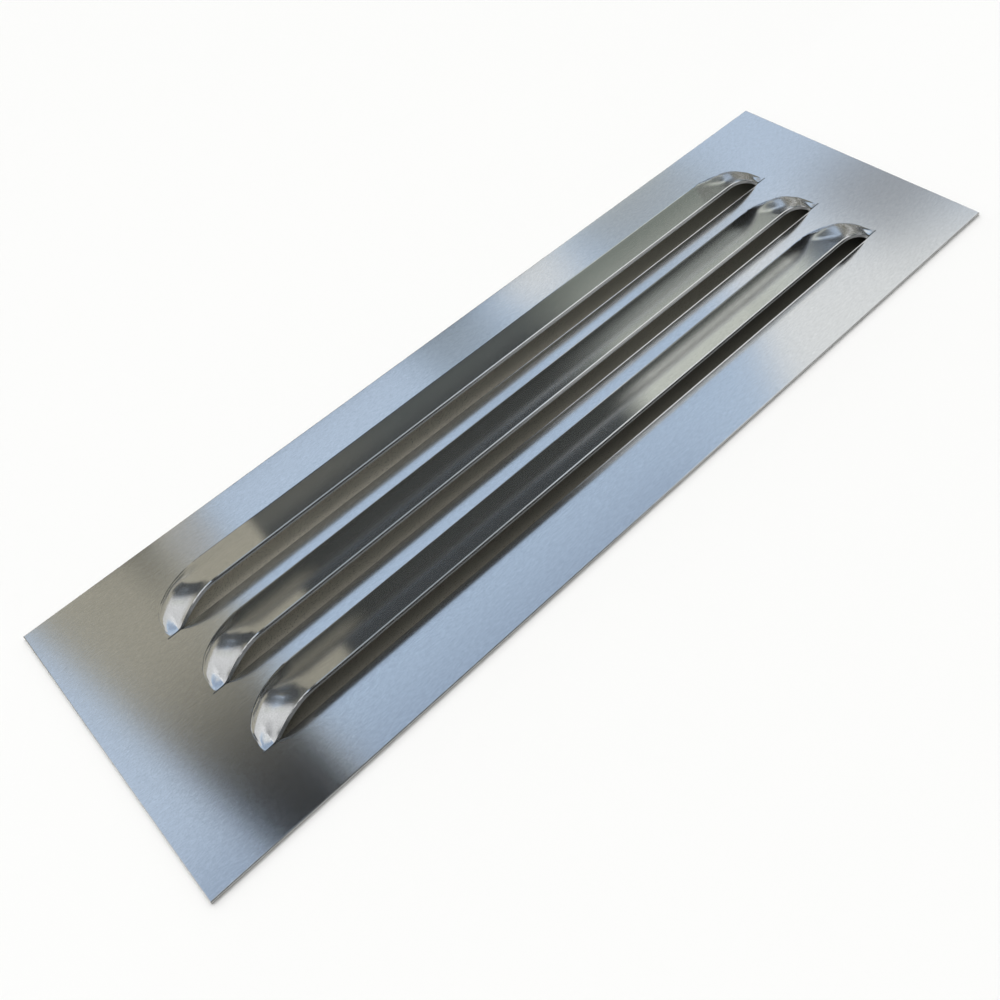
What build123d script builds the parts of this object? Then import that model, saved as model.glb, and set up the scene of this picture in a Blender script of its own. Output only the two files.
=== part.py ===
from build123d import *
from math import asin, atan2, cos, degrees, hypot, pi, radians, sin, sqrt, tan
import os

# Louvred vent panel, pressed from one flat rectangle of sheet metal, in millimetres.
# X runs along the louvres, +Y from the mouths back to the folds, +Z up.
# The origin is the middle of the flat back face, which lies on Z = 0.

# Sheet blank
sheet_length = 400.0
sheet_width = 125.0
sheet_thickness = 1.5
edge_rollover = 0.4  # rounding that the shear leaves along the top of the outer edges

# Row of louvres
louvre_count = 3
louvre_pitch = 29.3
back_margin = 18.9  # flat border between the back edge and the first fold

# One louvre: a flap that is sheared along its slit and turned up about its fold
mouth_length = 317.0  # between the points where the lip leaves the sheet
slit_gap = 0.15  # clearance between the two sheared faces of the slit
lip_break = 0.3  # flat that takes the sharpness off the lip's upper corner
flap_depth = 21.3  # from the slit back to the start of the fold
lip_rise = 9.0  # from the sheet's top face up to the lip's upper corner
fold_radius = 2.0  # hollow side of the fold
land = 1.0  # flat strip round the formed area, and level lip at the end of the dome

# Domed end of a louvre, as the mouth is seen from the front and from above
ramp_angle = 38.5  # slope at which the lip climbs out of the sheet
lip_softness = 0.6  # how gently the lip starts to climb
crown_radius = 25.5  # arc that rounds the ramp into the level lip
nose_reach = 3.7  # how far the dome's nose reaches past the end of the mouth
nose_depth = 5.0  # blunt width of the outline at the tip of the nose
nose_run = 25.0  # length over which the outline swings round to the fold line
bulge_run = 21.0  # length of the dome's bulge, from the tip of the nose
bulge_angle = 45.0  # most that the dome's foot is steeper than a straight slope
bulge_skew = 0.7  # below 1 the bulge is fullest near the nose
root_fullness = 0.45  # share of the slope over which the bulge keeps the foot's heading
lip_fullness = 0.25  # share of the slope over which it has the lip's heading
nose_stations = 3  # sections from the tip of the nose to the end of the mouth
lip_stations = 5  # sections from there to the level lip
station_crowding = 1.3  # above 1 the sections crowd towards the start of each stretch

# Side view of the lip: a straight ramp, then an arc that ends level
ramp_slope = tan(radians(ramp_angle))
ramp_run = (lip_rise - crown_radius * (1 - cos(radians(ramp_angle)))) / ramp_slope
lip_run = ramp_run + crown_radius * sin(radians(ramp_angle))
nose_tip = mouth_length / 2 + nose_reach
window_depth = flap_depth + land


def rise_at(run):
    """Height of the lip above the sheet, a distance in from the end of the mouth."""
    if run < ramp_run:
        climb = run * ramp_slope
        return (climb + sqrt(climb**2 + lip_softness**2)) / 2
    return lip_rise - crown_radius + sqrt(crown_radius**2 - (lip_run - run) ** 2)


def setback_at(rise):
    """Distance that the lip has swung back from the slit, as the flap keeps its depth."""
    return flap_depth - sqrt(flap_depth**2 - rise**2)


def depth_at(reach):
    """Distance from the slit back to the fold: a quarter ellipse round the nose."""
    swing = max(0.0, 1 - reach / nose_run)
    return nose_depth + (flap_depth - nose_depth) * sqrt(1 - swing**2)


def bulge_at(reach):
    """How much steeper the foot of the dome is than a straight slope, in degrees."""
    share = min(1.0, reach / bulge_run)
    return bulge_angle * sin(pi * share**bulge_skew)


def foot_angle(rise, slope_run):
    """Angle of the straight slope that leaves the fold and ends at the lip."""
    above_centre = rise - fold_radius
    return degrees(atan2(above_centre, slope_run) + asin(fold_radius / hypot(slope_run, above_centre)))


def flat_section(x):
    """Section of the unformed sheet, with as many corners as a formed section."""
    corners = (window_depth, nose_depth, nose_depth - land)
    upper = [(x, y, sheet_thickness) for y in (*corners, lip_break)]
    lower = [(x, y, 0) for y in (0, *reversed(corners))]
    broken_corner = (x, 0, sheet_thickness - lip_break)
    return Face(Wire.make_polygon([*upper, broken_corner, *lower], close=True))


def heading_at(angle):
    """Direction from the fold towards the lip, at an angle above the sheet."""
    return Vector(-cos(radians(angle)), sin(radians(angle)))


def slope_curve(foot, lip, foot_heading, lip_heading):
    """Curve that leaves the fold steeply and levels out towards the lip."""
    span = (lip - foot).length
    return Bezier(
        foot, foot + foot_heading * span * root_fullness, lip - lip_heading * span * lip_fullness, lip
    )


def formed_section(x, rise=lip_rise, depth=flap_depth, bulge=0.0):
    """Cross-section of a louvre: flat border, fold and slope, one thickness all along."""
    lip = Vector(setback_at(rise), sheet_thickness + rise)
    straight_angle = foot_angle(rise, depth - lip.X)
    angle = straight_angle + bulge
    lip_heading = heading_at(straight_angle)
    down = lip_heading.rotate(Axis.Z, 90)
    upper_lip = lip - lip_heading * lip_break
    lower_lip = lip + down * sheet_thickness
    with BuildSketch(Plane.YZ.offset(x)) as section:
        with BuildLine():
            upper_flat = Line((window_depth, sheet_thickness), (depth, sheet_thickness))
            upper_fold = JernArc(upper_flat @ 1, (-1, 0), fold_radius, -angle)
            lower_flat = Line((window_depth, 0), (depth, 0))
            lower_fold = JernArc(lower_flat @ 1, (-1, 0), fold_radius + sheet_thickness, -angle)
            if bulge > 0:
                slope_curve(upper_fold @ 1, upper_lip, heading_at(angle), lip_heading)
                slope_curve(lower_fold @ 1, lower_lip, heading_at(angle), lip_heading)
            else:
                Line(upper_fold @ 1, upper_lip)
                Line(lower_fold @ 1, lower_lip)
            Polyline(upper_lip, lip + down * lip_break, lower_lip)
            Line(upper_flat @ 0, lower_flat @ 0)
        make_face()
    return section.sketch


def dome_section(reach):
    """Formed section of the dome, a distance in from the tip of its nose."""
    rise = rise_at(reach - nose_reach)
    return formed_section(reach - nose_tip, rise, depth_at(reach), bulge_at(reach))


nose_reaches = [
    nose_reach * (step / nose_stations) ** station_crowding for step in range(1, nose_stations + 1)
]
lip_reaches = [
    nose_reach + lip_run * (step / lip_stations) ** station_crowding for step in range(1, lip_stations)
]
dome_end = nose_reach + lip_run - nose_tip

with BuildPart() as domed_end:
    loft(
        [flat_section(-nose_tip - land), flat_section(-nose_tip)]
        + [dome_section(reach) for reach in nose_reaches + lip_reaches]
        + [formed_section(x) for x in (dome_end, dome_end + land)]
    )

with BuildPart() as louvre:
    add(domed_end.part)
    mirror(about=Plane.YZ)
    extrude(formed_section(dome_end + land), amount=-2 * (dome_end + land))

slit_places = [
    (0, sheet_width / 2 - back_margin - flap_depth - index * louvre_pitch)
    for index in range(louvre_count)
]

with BuildPart() as louvre_panel:
    with BuildSketch():
        Rectangle(sheet_length, sheet_width)
    extrude(amount=sheet_thickness)
    fillet(louvre_panel.faces().sort_by(Axis.Z)[-1].edges(), edge_rollover)
    with BuildSketch():
        with Locations(slit_places):
            with Locations((0, -slit_gap)):
                Rectangle(
                    2 * (nose_tip + land),
                    slit_gap + window_depth,
                    align=(Align.CENTER, Align.MIN),
                )
    extrude(amount=sheet_thickness, mode=Mode.SUBTRACT)
    with Locations(slit_places):
        add(louvre.part)

os.makedirs("parts", exist_ok=True)
louvre_panel.part.label = "louvre_panel"
export_step(louvre_panel.part, "parts/louvre_panel.step")
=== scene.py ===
from math import cos, pi, radians, sin, tan

import bpy
from mathutils import Matrix, Vector

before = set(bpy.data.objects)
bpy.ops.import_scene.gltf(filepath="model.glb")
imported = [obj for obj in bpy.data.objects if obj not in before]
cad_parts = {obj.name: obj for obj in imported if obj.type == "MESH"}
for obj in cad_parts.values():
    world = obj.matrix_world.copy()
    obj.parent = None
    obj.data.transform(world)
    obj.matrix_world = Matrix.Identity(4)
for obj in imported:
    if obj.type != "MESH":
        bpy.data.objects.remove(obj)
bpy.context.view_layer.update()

# Everything is in metres, in the part's own frame: X along the louvres, +Y from the
# mouths back to the folds, +Z up. The sheet lies on the floor, at Z = 0.
top = 0.0015  # height of the sheet's top face
lip_top = 0.0105  # height of a lip's upper corner, before its edge is broken
slit_pitch = 0.0293
first_slit = 0.02215  # front edge of the farthest slit

# Camera, solved from the four corners of the sheet in the photograph
camera_place = Vector((-0.1611, -0.1903, 0.2839))
camera_aim = Vector((-0.0444, -0.0200, 0.0015))
camera_roll = radians(-10.72)
camera_lens = 34.39  # millimetres
camera_sensor = 36.0  # millimetres
camera_clip = 0.01

# Light of the world on matt surfaces: the camera and the metal see a plain white there
light_direction = (0.1, 0.59, 0.8)
light_edge = 0.3  # cosine to that direction at which the light has faded out
light_level = 2.45

# Floor, and the tan zone of it under the sheet that shows in the mouths, with painted shade in
# the zone
floor_reach = 4
floor_roughness = 0.9
floor_colour = (0.88, 0.88, 0.87)
zone_colour = (0.88, 0.83, 0.70)
zone_half = (0.192, 0.056)
zone_soft = 0.004
# Painted shade: the zone darkens towards the right end and the near side, fading to the
# specks' dark colour
zone_painted_shade_right = (-0.15, 0.25)  # the zone darkens between these places
zone_painted_shade_right_share = 0.08  # share of its lightness that is left at the right one
zone_painted_shade_near = (-0.04, 0.04)  # and between these, towards the near side
zone_painted_shade_near_share = 0.33
# Dark specks of dirt in the zone; the painted shade fades to the same dark colour
speck_scale = (700, 420, 0)
speck_noise = (0.59, 0.65)  # noise above these values makes a speck
speck_and_shade_colour = (0.03, 0.03, 0.02)

# The camera's mirror image in the top face, and the soft ceiling that the face mirrors
mirrored_camera = Vector((camera_place.x, camera_place.y, 2 * top - camera_place.z))
ceiling_height = 0.85
ceiling_corners = ((-0.30, -0.32), (0.42, 0.24))  # as the camera sees them on the sheet

# Round screen that the slopes and the domes mirror
screen_radius = 3.0
screen_foot = -0.1
screen_elevation = 50.0  # degrees
screen_sides = 120

# Low cards: one upright past the far edge, and two that lie on the floor beside the sheet
flag_distance = 0.1
flag_corners = ((-0.3, 0.0), (0.185, 0.04))
foot_height = 0.0004
foot_reach = 3
far_foot_edge = 0.075
near_foot_edge = -0.067

# Cards in the hollows, with y measured from the front edge of the louvre's slit
hollow_height = 0.0002
hollow_corners = ((-0.15, 0.008), (0.15, 0.0165))

# Grain and mottle of the bare aluminium
grain_scale = (90, 1500, 1500)  # drawn out along the louvres, the way the sheet was rolled
grain_noise = (0.3, 0.7)
grain_dark = (0.72, 0.73, 0.74)
grain_light = (0.86, 0.87, 0.88)
grain_strength = 0.2
grain_height = 0.00002
mottle_scale = (400, 700, 700)
mottle_noise = (0.45, 0.75)
mottle_colour = (0.71, 0.72, 0.73)
anisotropy = 0.6

# Its sheared faces: a normal that lies this far sideways marks one
cut_tilt = (0.82, 0.88)
# Darker colour of the sheared faces: partly their own duller tone, partly painted shade
cut_colour_with_painted_shade = (0.55, 0.55, 0.54)
torn_top = lip_top - 0.00088  # below this the lip's cut face is torn
torn_soft = 0.0001
lip_heights = (0.006, 0.007)  # between these the lip takes over from the sheet's own edges

# Its roughness, and what the domes and the sheared faces add to it
sheet_roughness = (0.11, 0.15)
roughness_noise = (0.3, 0.7)
dome_roughness = (0.08, 0.13)  # on the left and on the right
dome_sides = (-0.1, 0.1)
dome_starts = (0.138, 0.150)  # from the middle of the sheet
dome_heights = (0.0017, 0.0027)
cut_roughness = 0.10
torn_roughness = 0.30

# Burr that the shear has raised along the front edge of each slit
burr_width = 0.0006
burr_height = 0.0001
burr_start = (-0.06, 0.06)  # it grows between these places along the louvre
burr_end = (0.153, 0.157)  # and ends between these
burr_fade = 0.001  # beyond the farthest slit

scene = bpy.context.scene


class Tree:
    """A node tree with short ways to add a node and to link or set its inputs."""

    def __init__(self, tree):
        self.tree = tree

    def node(self, kind, *inputs, **settings):
        made = self.tree.nodes.new(kind)
        for name, value in settings.items():
            setattr(made, name, value)
        for socket, value in zip(made.inputs, inputs):
            self.feed(socket, value)
        return made.outputs[0] if made.outputs else made

    def feed(self, socket, value):
        if isinstance(value, bpy.types.NodeSocket):
            self.tree.links.new(value, socket)
        elif value is not None:
            socket.default_value = value

    def feed_colour(self, socket, colour):
        """Feeds a colour that is either a socket or a plain (red, green, blue)."""
        self.feed(socket, (*colour, 1) if isinstance(colour, tuple) else colour)

    def math(self, operation, *inputs):
        return self.node("ShaderNodeMath", *inputs, operation=operation)

    def multiply(self, product, *factors):
        for factor in factors:
            product = self.math("MULTIPLY", product, factor)
        return product

    def split(self, vector):
        return self.node("ShaderNodeSeparateXYZ", vector).node.outputs

    def object_place(self):
        return self.node("ShaderNodeTexCoord").node.outputs["Object"]

    def noise(self, place, scales):
        stretched = self.node("ShaderNodeVectorMath", place, scales, operation="MULTIPLY")
        return self.node("ShaderNodeTexNoise", stretched, noise_dimensions="3D")

    def bump(self, height, distance, strength=1.0, normal=None):
        bump = self.node("ShaderNodeBump").node
        self.feed(bump.inputs["Height"], height)
        self.feed(bump.inputs["Distance"], distance)
        self.feed(bump.inputs["Strength"], strength)
        self.feed(bump.inputs["Normal"], normal)
        return bump.outputs[0]

    def ramp(self, value, low, high, start=0.0, end=1.0):
        """A smooth step from start to end, as the value goes from low to high."""
        return self.node(
            "ShaderNodeMapRange", value, low, high, start, end, interpolation_type="SMOOTHSTEP"
        )

    def fall(self, value, low, high, end=0.0):
        """A smooth step from 1 down to end, as the value goes from low to high."""
        return self.ramp(value, low, high, 1.0, end)

    def soft_edge(self, distance, half, soft):
        """1 inside the half width, falling to 0 over the soft width centred on its edge."""
        return self.fall(self.math("ABSOLUTE", distance), half - soft / 2, half + soft / 2)

    def blend(self, factor, first, second):
        """A mix of two colours, each a socket or a plain colour."""
        mix = self.tree.nodes.new("ShaderNodeMix")
        mix.data_type = "RGBA"
        factor_input, first_input, second_input = (mix.inputs[index] for index in (0, 6, 7))
        self.feed(factor_input, factor)
        self.feed_colour(first_input, first)
        self.feed_colour(second_input, second)
        return mix.outputs[2]


def add_object(name, data):
    thing = bpy.data.objects.new(name, data)
    scene.collection.objects.link(thing)
    return thing


def make_mesh(name, points, faces):
    mesh = bpy.data.meshes.new(name)
    mesh.from_pydata(points, [], faces)
    return mesh


def rectangle_mesh(name, low, high):
    (left, near), (right, far) = low, high
    corners = [(left, near, 0), (right, near, 0), (right, far, 0), (left, far, 0)]
    return make_mesh(name, corners, [(0, 1, 2, 3)])


def make_material(name):
    """A material, its tree and the shader that Blender has put in it."""
    material = bpy.data.materials.new(name)
    material.use_nodes = True
    shader = material.node_tree.nodes["Principled BSDF"]
    return material, Tree(material.node_tree), shader


def make_camera():
    data = bpy.data.cameras.new("camera")
    data.lens = camera_lens
    data.sensor_width = camera_sensor
    data.clip_start = camera_clip
    camera = add_object("camera", data)
    turn = (camera_aim - camera_place).to_track_quat("-Z", "Y").to_matrix().to_4x4()
    roll = Matrix.Rotation(camera_roll, 4, "Z")
    camera.matrix_world = Matrix.Translation(camera_place) @ turn @ roll
    scene.camera = camera


def make_floor():
    """Pale floor, with a tan, speckled zone under the sheet that shows in the mouths, and
    painted shade that darkens the zone towards the right end and the near side.
    """
    mesh = rectangle_mesh("floor", (-floor_reach, -floor_reach), (floor_reach, floor_reach))
    floor = add_object("floor", mesh)
    material, tree, shader = make_material("floor")
    place = tree.object_place()
    x, y, _ = tree.split(place)
    # Painted shade towards the right end and the near side, multiplied with the specks of dirt
    painted_shade_and_specks = tree.multiply(
        tree.fall(x, *zone_painted_shade_right, zone_painted_shade_right_share),
        tree.ramp(y, *zone_painted_shade_near, zone_painted_shade_near_share, 1.0),
        tree.fall(tree.noise(place, speck_scale), *speck_noise),
    )
    zone = tree.blend(painted_shade_and_specks, speck_and_shade_colour, zone_colour)
    in_zone = tree.multiply(
        tree.soft_edge(x, zone_half[0], zone_soft), tree.soft_edge(y, zone_half[1], zone_soft)
    )
    tree.feed(shader.inputs["Base Color"], tree.blend(in_zone, floor_colour, zone))
    tree.feed(shader.inputs["Roughness"], floor_roughness)
    mesh.materials.append(material)


def make_world():
    """Soft light from above and behind; the camera and the metal see a plain white."""
    world = bpy.data.worlds.new("world")
    scene.world = world
    world.use_nodes = True
    tree = Tree(world.node_tree)
    direction = tree.node("ShaderNodeTexCoord").node.outputs["Generated"]
    facing = tree.node(
        "ShaderNodeVectorMath", direction, light_direction, operation="DOT_PRODUCT"
    ).node
    level = tree.ramp(facing.outputs["Value"], light_edge, 1.0, 0.0, light_level)
    is_diffuse = tree.node("ShaderNodeLightPath").node.outputs["Is Diffuse Ray"]
    strength = tree.node("ShaderNodeMapRange", is_diffuse, 0.0, 1.0, 1.0, level)
    background = world.node_tree.nodes["Background"]
    tree.feed(background.inputs["Color"], (1, 1, 1, 1))
    tree.feed(background.inputs["Strength"], strength)


class Card(Tree):
    """Glowing stage piece that only reflections see, painted in coordinates of its own."""

    def __init__(self, mesh, colour):
        self.material = bpy.data.materials.new(mesh.name)
        self.material.use_nodes = True
        self.material.cycles.emission_sampling = "NONE"
        super().__init__(self.material.node_tree)
        self.tree.nodes.clear()
        self.place = self.object_place()
        self.mesh = mesh
        self.paint = colour

    def patch(self, colour, centre, half, soft=(0.02, 0.02), turn=0.0):
        """Lays a soft-edged rectangle of colour over what is painted so far."""
        moved = self.node(
            "ShaderNodeVectorMath", self.place, (*centre, 0), operation="SUBTRACT"
        )
        turned = self.node("ShaderNodeVectorRotate", moved, None, (0, 0, 1), -radians(turn))
        x, y, _ = self.split(turned)
        inside = self.multiply(
            self.soft_edge(x, half[0], soft[0]), self.soft_edge(y, half[1], soft[1])
        )
        self.paint = self.blend(inside, self.paint, colour)

    def hang(self, matrix=Matrix()):
        glow = self.node("ShaderNodeEmission")
        self.feed_colour(glow.node.inputs["Color"], self.paint)
        self.node("ShaderNodeOutputMaterial", glow)
        self.mesh.materials.append(self.material)
        card = add_object(self.mesh.name, self.mesh)
        card.matrix_world = matrix
        card.visible_camera = False
        card.visible_diffuse = False
        card.visible_transmission = False
        card.visible_shadow = False


# Colours of light on the cards, by hue and then from light to dark
white = (1.0, 1.0, 1.0)
glare = (1.0, 1.0, 0.92)
cloud = (0.84, 0.85, 0.84)
pearl = (0.72, 0.72, 0.72)
haze = (0.60, 0.69, 0.81)
pale_sky = (0.54, 0.65, 0.80)
sky = (0.47, 0.59, 0.75)
deep_sky = (0.33, 0.42, 0.56)
grey = (0.40, 0.44, 0.47)
steel = (0.31, 0.37, 0.43)
pewter = (0.33, 0.35, 0.375)
lead = (0.15, 0.165, 0.18)
slate = (0.05, 0.055, 0.058)
charcoal = (0.035, 0.036, 0.036)
pale_green = (0.72, 0.74, 0.66)
grey_green = (0.57, 0.585, 0.52)
grey_moss = (0.40, 0.42, 0.385)
moss = (0.30, 0.32, 0.285)
sage = (0.21, 0.235, 0.205)
dim_sage = (0.14, 0.155, 0.135)
dim_olive = (0.085, 0.094, 0.09)
warm_grey = (0.43, 0.42, 0.39)
tan_wall = (0.387, 0.365, 0.293)
dim_tan = (0.31, 0.29, 0.23)
umber = (0.19, 0.18, 0.14)
olive = (0.115, 0.115, 0.10)
dusk = (0.06, 0.062, 0.057)
shade = (0.02, 0.02, 0.018)
soot = (0.01, 0.01, 0.01)


def make_ceiling():
    """Card whose own coordinates are the places on the sheet where the camera sees them."""
    card = Card(rectangle_mesh("ceiling", *ceiling_corners), sky)
    # Far margin, from the middle to the right
    card.patch(pale_sky, (-0.07, 0.08), (0.05, 0.05))
    card.patch(steel, (0.0, 0.08), (0.018, 0.05))
    card.patch(cloud, (0.05, 0.08), (0.016, 0.048))
    card.patch(grey, (0.115, 0.08), (0.035, 0.055), (0.025, 0.03))
    # Right end, and the strips between the louvres near it
    card.patch(haze, (0.125, -0.005), (0.04, 0.02), (0.05, 0.02))
    card.patch(pale_sky, (0.21, 0.055), (0.055, 0.055), (0.03, 0.03))
    # Near margin
    card.patch(deep_sky, (-0.07, -0.10), (0.09, 0.045), (0.05, 0.02))
    card.patch(cloud, (0.137, -0.100), (0.08, 0.072), (0.02, 0.05), turn=-33)
    card.patch(pewter, (0.215, -0.021), (0.055, 0.027), (0.025, 0.03))
    # Nearer than the sheet, where only the lips' broken corners look
    card.patch(grey, (-0.10, -0.21), (0.06, 0.11), (0.02, 0.02))
    card.patch(cloud, (0.21, -0.21), (0.25, 0.11), (0.10, 0.02))
    # Left end
    card.patch(tan_wall, (-0.176, 0.02), (0.0275, 0.2), (0.012, 0.02), turn=3)
    card.patch(tan_wall, (-0.149, 0.04), (0.011, 0.05), (0.012, 0.02))
    card.patch(warm_grey, (-0.133, 0.06), (0.008, 0.03), (0.012, 0.02))
    card.patch(umber, (-0.152, 0.06), (0.006, 0.02), (0.006, 0.012))
    card.patch(soot, (-0.168, -0.15), (0.0225, 0.1375), (0.004, 0.08), turn=1)
    card.patch(pale_sky, (-0.2279, 0.0), (0.04, 0.2), (0.008, 0.02), turn=8)
    card.patch(deep_sky, (-0.2265, -0.12), (0.045, 0.067), (0.008, 0.04))
    card.patch(cloud, (-0.25, -0.175), (0.07, 0.055), (0.02, 0.02))
    # Past the far left corner, where only the domes look, and behind the camera
    card.patch(slate, (-0.285, 0.15), (0.06, 0.12), (0.03, 0.03))
    card.patch(slate, (-0.22, 0.185), (0.12, 0.085), (0.03, 0.03))
    card.patch(charcoal, (-0.16, -0.30), (0.15, 0.095), (0.03, 0.03))
    scale = (ceiling_height - mirrored_camera.z) / (top - mirrored_camera.z)
    away = Matrix.Translation(mirrored_camera)
    back = Matrix.Translation(-mirrored_camera)
    grow = away @ Matrix.Scale(scale, 4) @ back
    card.hang(grow @ Matrix.Translation((0, 0, top)))


def make_screen():
    """Round screen, painted in degrees: azimuth from +Y towards +X, then elevation."""
    height = screen_radius * tan(radians(screen_elevation))
    turns = [2 * pi * side / screen_sides for side in range(screen_sides)]
    points = [
        (screen_radius * sin(turn), screen_radius * cos(turn), z)
        for z in (screen_foot, height)
        for turn in turns
    ]
    lower = [(side, (side + 1) % screen_sides) for side in range(screen_sides)]
    faces = [(start, end, end + screen_sides, start + screen_sides) for start, end in lower]
    card = Card(make_mesh("screen", points, faces), slate)
    x, y, z = card.split(card.place)
    azimuth = card.math("DEGREES", card.math("ARCTAN2", x, y))
    elevation = card.math("DEGREES", card.math("ARCTAN2", z, screen_radius))
    card.place = card.node("ShaderNodeCombineXYZ", azimuth, elevation)
    # Left domes
    card.patch(tan_wall, (-25, 5), (22, 10), (6, 5))
    card.patch(lead, (-24, 44), (11, 12), (8, 8))
    card.patch(pearl, (-59, 33), (23, 19), (16, 10))
    card.patch(pearl, (-38, 20), (9, 8), (10, 8))
    card.patch(grey_green, (-46, 37), (5, 4), (5, 5))
    card.patch(white, (-74, 46), (8, 7), (5, 5))
    # Right ends of the slopes, then the right domes
    card.patch(umber, (66, 8), (9, 12), (4, 5))
    card.patch(pale_sky, (49.5, 12.5), (7.5, 4), (4, 4))
    card.patch(moss, (40.6, 3.2), (3.6, 2.5), (1.5, 2))
    card.patch(pale_green, (40.6, 7.3), (3.6, 2.3), (1.5, 1.5))
    card.patch(white, (76, 40), (6, 6), (5, 5))
    # To the right of the camera, and a little behind it
    card.patch(cloud, (118, 42), (24, 14), (8, 8))
    card.hang()


def make_flags():
    """Low cards beside the sheet: the far one gives each slope its own band of reflections."""
    flag = Card(rectangle_mesh("far_flag", *flag_corners), slate)
    flag.patch(olive, (0.0, 0.0), (0.4, 0.009), (0.01, 0.005))
    flag.patch(dim_olive, (0.015, 0.0), (0.06, 0.009), (0.05, 0.005))
    flag.patch(sage, (0.195, 0.0), (0.12, 0.009), (0.06, 0.005))
    flag.patch(moss, (0.195, 0.0155), (0.12, 0.0075), (0.06, 0.005))
    flag.patch(pale_green, (0.2, 0.0475), (0.108, 0.0255), (0.03, 0.006))
    flag.patch(tan_wall, (-0.125, 0.02), (0.018, 0.04), (0.006, 0.01))
    flag.patch(tan_wall, (-0.24, 0.02), (0.066, 0.04), (0.010, 0.01))
    flag.patch(tan_wall, (-0.165, 0.0), (0.03, 0.016), (0.010, 0.006))
    upright = Matrix.Rotation(radians(90), 4, "X")
    flag.hang(Matrix.Translation((0, flag_distance, 0)) @ upright)

    above_floor = Matrix.Translation((0, 0, foot_height))
    for name, near, far, colour in (
        ("far_foot", far_foot_edge, foot_reach, olive),
        ("near_foot", -foot_reach, near_foot_edge, shade),
    ):
        mesh = rectangle_mesh(name, (-foot_reach, near), (foot_reach, far))
        Card(mesh, colour).hang(above_floor)


def make_hollow_cards():
    """Cards in the hollows of the far two louvres, which the slope in front mirrors."""
    far = Card(rectangle_mesh("far_hollow", *hollow_corners), dusk)
    far.patch(grey_moss, (0.14, 0.008), (0.085, 0.0045), (0.08, 0.005))
    middle = Card(rectangle_mesh("middle_hollow", *hollow_corners), dusk)
    middle.patch(dim_sage, (0.14, 0.008), (0.08, 0.0045), (0.12, 0.004))
    middle.patch(glare, (0.14, 0.008), (0.10, 0.0024), (0.03, 0.003))
    for place, card in enumerate((far, middle)):
        card.patch(dim_tan, (-0.13, 0.008), (0.021, 0.003), (0.014, 0.006))
        card.hang(Matrix.Translation((0, first_slit - place * slit_pitch, hollow_height)))


def make_aluminium():
    """Bright rolled sheet: fine grain along the louvres; dull where it has been sheared, and
    darker there, partly its own tone and partly painted shade.
    """
    material, tree, shader = make_material("mill_aluminium")
    place = tree.object_place()
    normal = tree.node("ShaderNodeNewGeometry").node.outputs["Normal"]
    x, y, z = tree.split(place)
    grain = tree.noise(place, grain_scale)
    mottle = tree.noise(place, mottle_scale)

    # Cut faces: darker, partly their own tone and partly painted shade; bright where the blade
    # has burnished them, torn along the lip's lower edge
    normal_x, normal_y, _ = tree.split(normal)
    sideways = tree.math(
        "MAXIMUM", tree.math("ABSOLUTE", normal_x), tree.math("ABSOLUTE", normal_y)
    )
    cut = tree.ramp(sideways, *cut_tilt)
    low_lip = tree.multiply(
        tree.fall(z, torn_top - torn_soft, torn_top), tree.ramp(z, *lip_heights)
    )
    torn = tree.multiply(cut, low_lip)

    bright = tree.blend(tree.ramp(grain, *grain_noise), grain_dark, grain_light)
    bright = tree.blend(tree.ramp(mottle, *mottle_noise), bright, mottle_colour)
    # Sheared faces take the darker colour: partly their own tone, partly painted shade
    tree.feed(shader.inputs["Base Color"], tree.blend(cut, bright, cut_colour_with_painted_shade))
    tree.feed(shader.inputs["Metallic"], 1)

    dome = tree.multiply(
        tree.ramp(tree.math("ABSOLUTE", x), *dome_starts), tree.ramp(z, *dome_heights)
    )
    roughness = tree.ramp(mottle, *roughness_noise, *sheet_roughness)
    for share, extra in (
        (dome, tree.ramp(x, *dome_sides, *dome_roughness)),
        (cut, cut_roughness),
        (torn, torn_roughness),
    ):
        roughness = tree.math("MULTIPLY_ADD", share, extra, roughness)
    tree.feed(shader.inputs["Roughness"], roughness)

    # Reflections blur across the grain
    across = tree.node("ShaderNodeVectorMath", normal, (1, 0, 0), operation="CROSS_PRODUCT")
    tree.feed(shader.inputs["Tangent"], across)
    tree.feed(shader.inputs["Anisotropic"], anisotropy)

    # The burr repeats at each slit, and none lies beyond the farthest
    before_slit = tree.math("SUBTRACT", first_slit, y)
    past_slit = tree.node("ShaderNodeMath", before_slit, slit_pitch, 0.0, operation="WRAP")
    along_mouth = tree.multiply(
        tree.ramp(x, *burr_start),
        tree.fall(y, first_slit, first_slit + burr_fade),
        tree.fall(x, *burr_end),
    )
    burr = tree.multiply(tree.fall(past_slit, 0.0, burr_width), along_mouth)
    grained = tree.bump(grain, grain_height, grain_strength)
    tree.feed(shader.inputs["Normal"], tree.bump(burr, burr_height, normal=grained))
    return material


make_camera()
make_floor()
make_world()
make_ceiling()
make_screen()
make_flags()
make_hollow_cards()

aluminium = make_aluminium()
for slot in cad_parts["louvre_panel"].material_slots:
    slot.material = aluminium

scene.view_settings.view_transform = "Standard"
